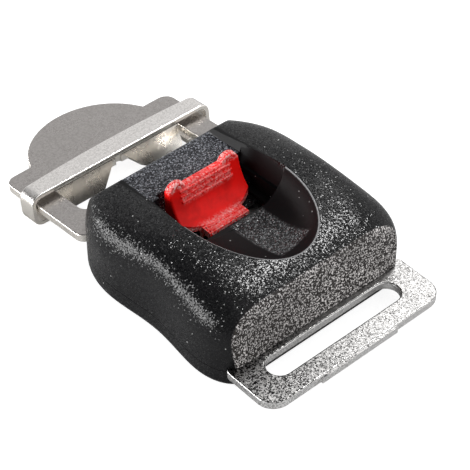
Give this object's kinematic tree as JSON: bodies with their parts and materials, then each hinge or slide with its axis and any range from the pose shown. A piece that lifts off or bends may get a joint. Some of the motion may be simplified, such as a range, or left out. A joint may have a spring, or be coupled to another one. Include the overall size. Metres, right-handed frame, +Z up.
{
  "type": "quick release buckle",
  "caption": "Quick release buckle: flat steel tongue caught in a rounded black body, opened by a thumb lever in a scoop, with a strap slot plate behind and a sliding adjuster bar in front.",
  "frame": {"origin": "centre of the buckle's outline, on the plane its underside lies on", "axes": "+X across the strap, +Y from the strap plate toward the tongue's tab, +Z up out of the finger scoop"},
  "size_m": [0.039, 0.0758, 0.0165],
  "materials": {
    "housing_plastic": "fine grained black",
    "base_plastic": "fine grained black",
    "plate_steel": "bead blasted nickel plate",
    "lever_plastic": "glossy red",
    "pin_steel": "plain",
    "tongue_steel": "satin nickel plate",
    "bar_steel": "satin nickel plate"
  },
  "bodies": {
    "buckle": {"housing": "housing_plastic", "housing_base": "base_plastic", "strap_plate": "plate_steel", "lever_pin": "pin_steel", "tongue": "tongue_steel"},
    "lever": {"release_lever": "lever_plastic"},
    "slider": {"slider_bar": "bar_steel"}
  },
  "joints": [
    {"name": "lever_press", "type": "hinge", "parent": "buckle", "child": "lever", "pos_m": [0, -0.00102, 0.0091], "axis": [-1, 0, 0], "range_deg": [0, 18], "stiffness_Nm_per_rad": 0.03},
    {"name": "bar_slide", "type": "slide", "parent": "buckle", "child": "slider", "axis": [0, 0.995, -0.0995], "range_m": [-0.007, 0.003]}
  ]
}
